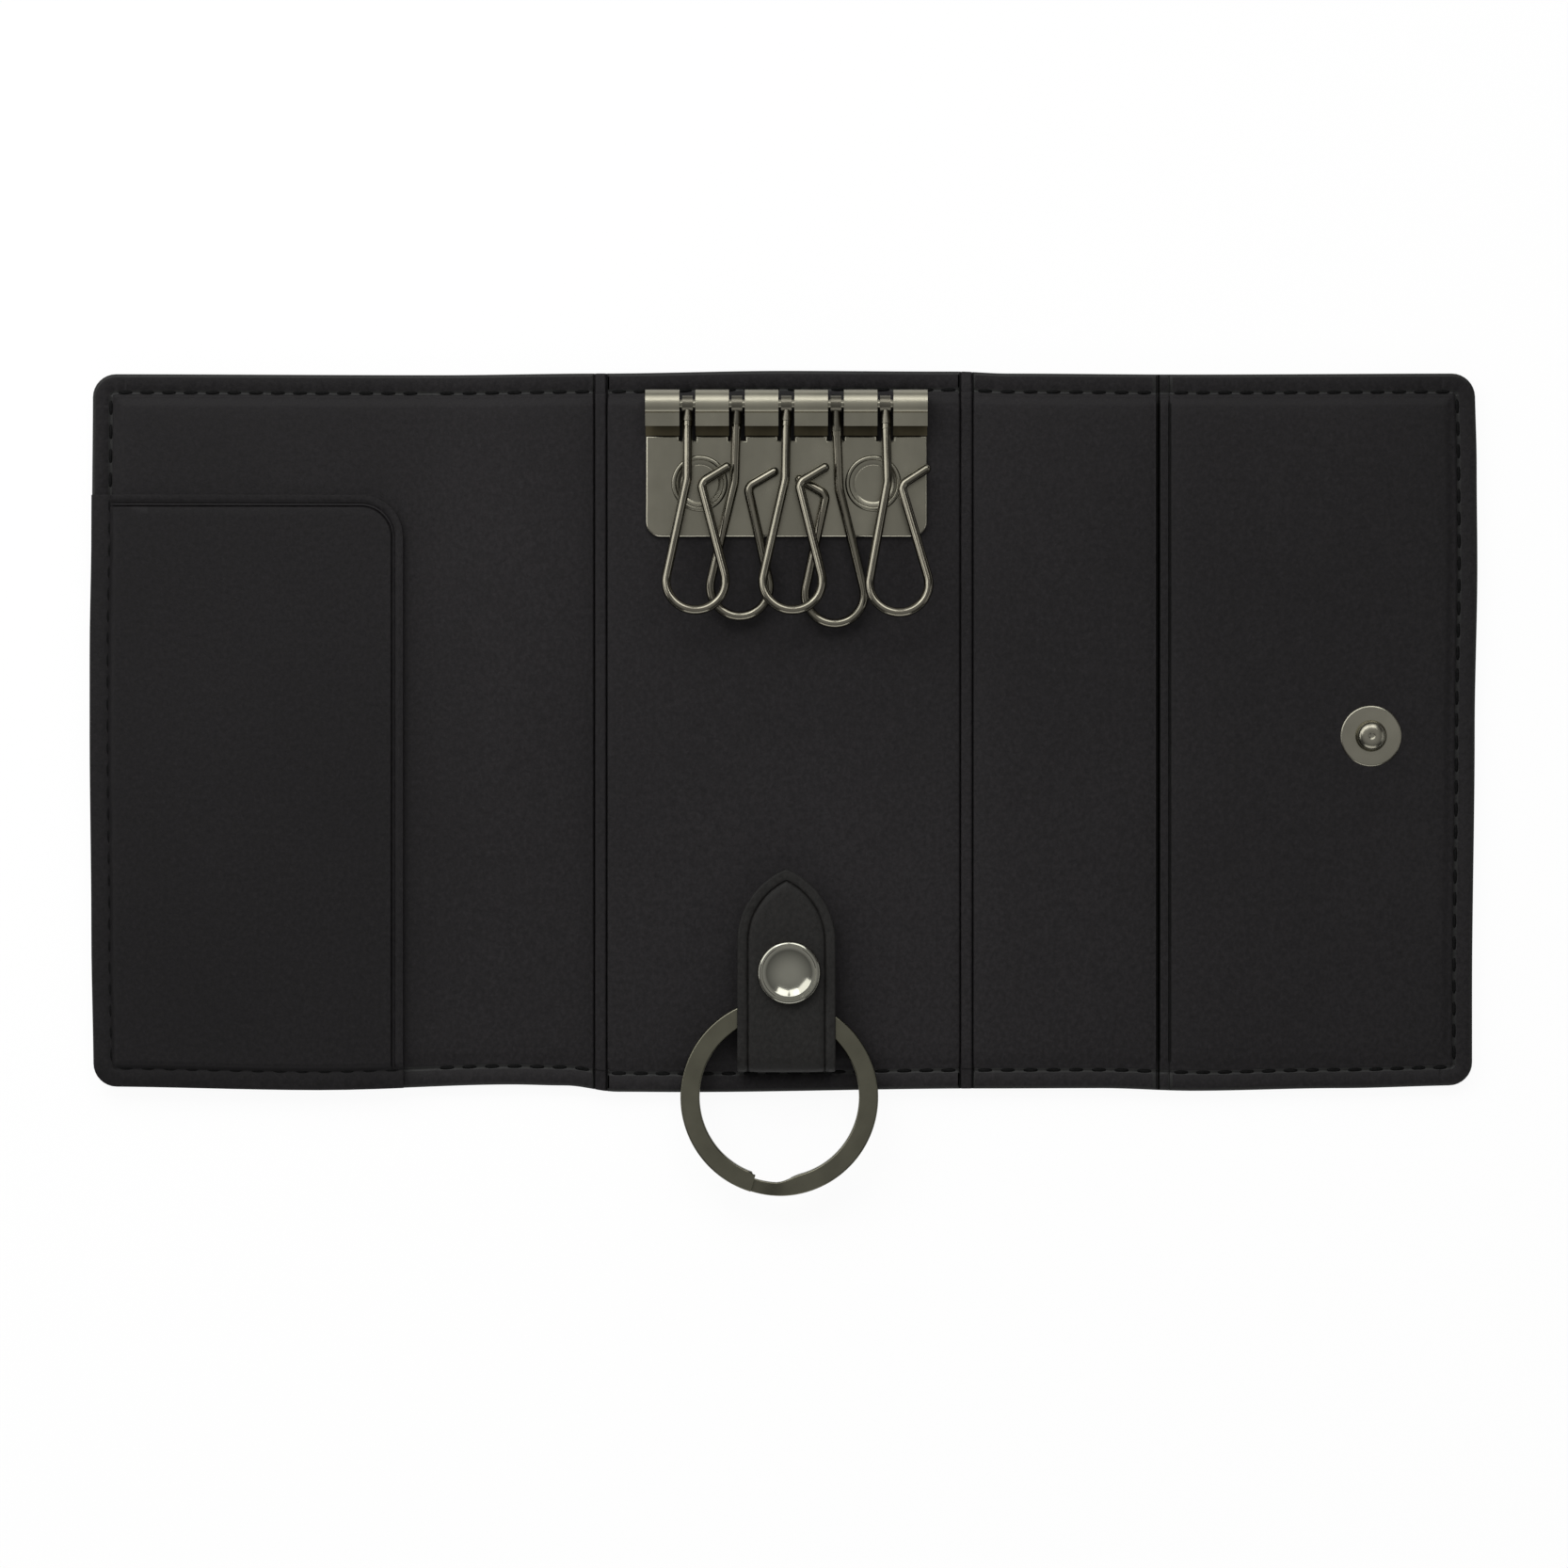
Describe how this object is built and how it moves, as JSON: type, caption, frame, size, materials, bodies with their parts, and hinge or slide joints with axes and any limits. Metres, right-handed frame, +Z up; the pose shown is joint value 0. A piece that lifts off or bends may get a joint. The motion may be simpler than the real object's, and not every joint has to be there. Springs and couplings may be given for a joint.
{
  "type": "key case",
  "caption": "Leather key case laid open: folding sides and flaps, rolled plate with swivelling wire hooks, strap holding a split ring, slip pocket and press-stud closure.",
  "frame": {"origin": "middle of the back of the centre panel, which lies on the table", "axes": "+X to the right across the open case, +Y towards the key plate, +Z up out of the lining"},
  "size_m": [0.2094, 0.124, 0.0114],
  "materials": {
    "outer_leather": "smooth",
    "lining_leather": "smooth matte",
    "strap_leather": "smooth",
    "board": "plain",
    "thread": "waxed",
    "plate_metal": "gunmetal",
    "wire_metal": "gunmetal",
    "ring_metal": "gunmetal",
    "stud_metal": "gunmetal plated",
    "spring_steel": "bright"
  },
  "bodies": {
    "centre": {"centre_outer_leather": "outer_leather", "centre_board": "board", "centre_lining": "lining_leather", "centre_thread": "thread", "key_plate": "plate_metal", "hook_pin": "plate_metal", "plate_rivets": "plate_metal", "rivet_washers": "plate_metal", "strap_back": "strap_leather", "strap_stud": "stud_metal", "strap_stud_post": "stud_metal", "strap_fold": "strap_leather", "left_fold_outer": "outer_leather", "left_fold_lining": "lining_leather", "right_fold_outer": "outer_leather", "right_fold_lining": "lining_leather"},
    "left_side": {"left_side_outer_leather": "outer_leather", "left_side_board": "board", "left_side_lining": "lining_leather", "left_side_thread": "thread", "left_flap_fold_outer": "outer_leather", "left_flap_fold_lining": "lining_leather"},
    "left_flap": {"left_flap_outer_leather": "outer_leather", "left_flap_board": "board", "left_flap_lining": "lining_leather", "left_flap_thread": "thread", "pocket_panel": "lining_leather", "snap_socket": "stud_metal", "snap_socket_spring": "spring_steel", "snap_socket_ring": "stud_metal"},
    "right_side": {"right_side_outer_leather": "outer_leather", "right_side_board": "board", "right_side_lining": "lining_leather", "right_side_thread": "thread", "right_flap_fold_outer": "outer_leather", "right_flap_fold_lining": "lining_leather"},
    "right_flap": {"right_flap_outer_leather": "outer_leather", "right_flap_board": "board", "right_flap_lining": "lining_leather", "right_flap_thread": "thread", "snap_stud": "stud_metal", "snap_cap": "stud_metal"},
    "strap_tab": {"strap_front": "strap_leather", "strap_cap": "stud_metal", "strap_socket": "stud_metal", "strap_socket_spring": "spring_steel"},
    "split_ring": {"split_ring": "ring_metal"},
    "tang_1": {"swivel_tang_1": "plate_metal"},
    "hook_1": {"key_hook_1": "wire_metal"},
    "tang_2": {"swivel_tang_2": "plate_metal"},
    "hook_2": {"key_hook_2": "wire_metal"},
    "tang_3": {"swivel_tang_3": "plate_metal"},
    "hook_3": {"key_hook_3": "wire_metal"},
    "tang_4": {"swivel_tang_4": "plate_metal"},
    "hook_4": {"key_hook_4": "wire_metal"},
    "tang_5": {"swivel_tang_5": "plate_metal"},
    "hook_5": {"key_hook_5": "wire_metal"}
  },
  "joints": [
    {"name": "left_side_fold", "type": "hinge", "parent": "centre", "child": "left_side", "pos_m": [-0.02764, 0, 0.00135], "axis": [0, -1, 0], "range_deg": [-90, 0], "deforming": ["left_fold_outer", "left_fold_lining"]},
    {"name": "left_flap_fold", "type": "hinge", "parent": "left_side", "child": "left_flap", "pos_m": [-0.05364, 0, 0.00135], "axis": [0, -1, 0], "range_deg": [-90, 0], "deforming": ["left_flap_fold_outer", "left_flap_fold_lining"]},
    {"name": "right_side_fold", "type": "hinge", "parent": "centre", "child": "right_side", "pos_m": [0.02764, 0, 0.00135], "axis": [0, 1, 0], "range_deg": [-90, 0], "deforming": ["right_fold_outer", "right_fold_lining"]},
    {"name": "right_flap_fold", "type": "hinge", "parent": "right_side", "child": "right_flap", "pos_m": [0.05734, 0, 0.00135], "axis": [0, 1, 0], "range_deg": [-90, 0], "deforming": ["right_flap_fold_outer", "right_flap_fold_lining"]},
    {"name": "strap_open", "type": "hinge", "parent": "centre", "child": "strap_tab", "pos_m": [0.00043, -0.04895, 0.0047], "axis": [1, 0, 0], "range_deg": [0, 110], "deforming": ["strap_fold"]},
    {"name": "ring_turn", "type": "hinge", "parent": "centre", "child": "split_ring", "pos_m": [-0.00064, -0.0551, 0.00465], "axis": [0, 0, 1], "continuous": true},
    {"name": "hook_swing_1", "type": "hinge", "parent": "centre", "child": "tang_1", "pos_m": [-0.01447, 0.0493, 0.0045], "axis": [-1, 0, 0], "range_deg": [0, 165]},
    {"name": "hook_swing_2", "type": "hinge", "parent": "centre", "child": "tang_2", "pos_m": [-0.00702, 0.0493, 0.0045], "axis": [-1, 0, 0], "range_deg": [0, 165]},
    {"name": "hook_swing_3", "type": "hinge", "parent": "centre", "child": "tang_3", "pos_m": [0.00043, 0.0493, 0.0045], "axis": [-1, 0, 0], "range_deg": [0, 165]},
    {"name": "hook_swing_4", "type": "hinge", "parent": "centre", "child": "tang_4", "pos_m": [0.00788, 0.0493, 0.0045], "axis": [-1, 0, 0], "range_deg": [0, 165]},
    {"name": "hook_swing_5", "type": "hinge", "parent": "centre", "child": "tang_5", "pos_m": [0.01533, 0.0493, 0.0045], "axis": [-1, 0, 0], "range_deg": [0, 165]},
    {"name": "hook_swivel_1", "type": "hinge", "parent": "tang_1", "child": "hook_1", "pos_m": [-0.01447, 0.0493, 0.0045], "axis": [0, -0.9848, 0.1736], "range_deg": [-4, 4]},
    {"name": "hook_swivel_2", "type": "hinge", "parent": "tang_2", "child": "hook_2", "pos_m": [-0.00702, 0.0493, 0.0045], "axis": [-0.0314, -0.9995, 0], "range_deg": [-4, 4]},
    {"name": "hook_swivel_3", "type": "hinge", "parent": "tang_3", "child": "hook_3", "pos_m": [0.00043, 0.0493, 0.0045], "axis": [-0.014, -0.9847, 0.1736], "range_deg": [-4, 4]},
    {"name": "hook_swivel_4", "type": "hinge", "parent": "tang_4", "child": "hook_4", "pos_m": [0.00788, 0.0493, 0.0045], "axis": [0.0384, -0.9993, 0], "range_deg": [-4, 4]},
    {"name": "hook_swivel_5", "type": "hinge", "parent": "tang_5", "child": "hook_5", "pos_m": [0.01533, 0.0493, 0.0045], "axis": [0.0262, -0.9845, 0.1736], "range_deg": [-4, 4]}
  ],
  "couplings": [
    {"joint": "hook_swing_1", "follows": "hook_swing_3", "ratio": 1},
    {"joint": "hook_swing_2", "follows": "hook_swing_3", "ratio": 1},
    {"joint": "hook_swing_4", "follows": "hook_swing_3", "ratio": 1},
    {"joint": "hook_swing_5", "follows": "hook_swing_3", "ratio": 1}
  ]
}
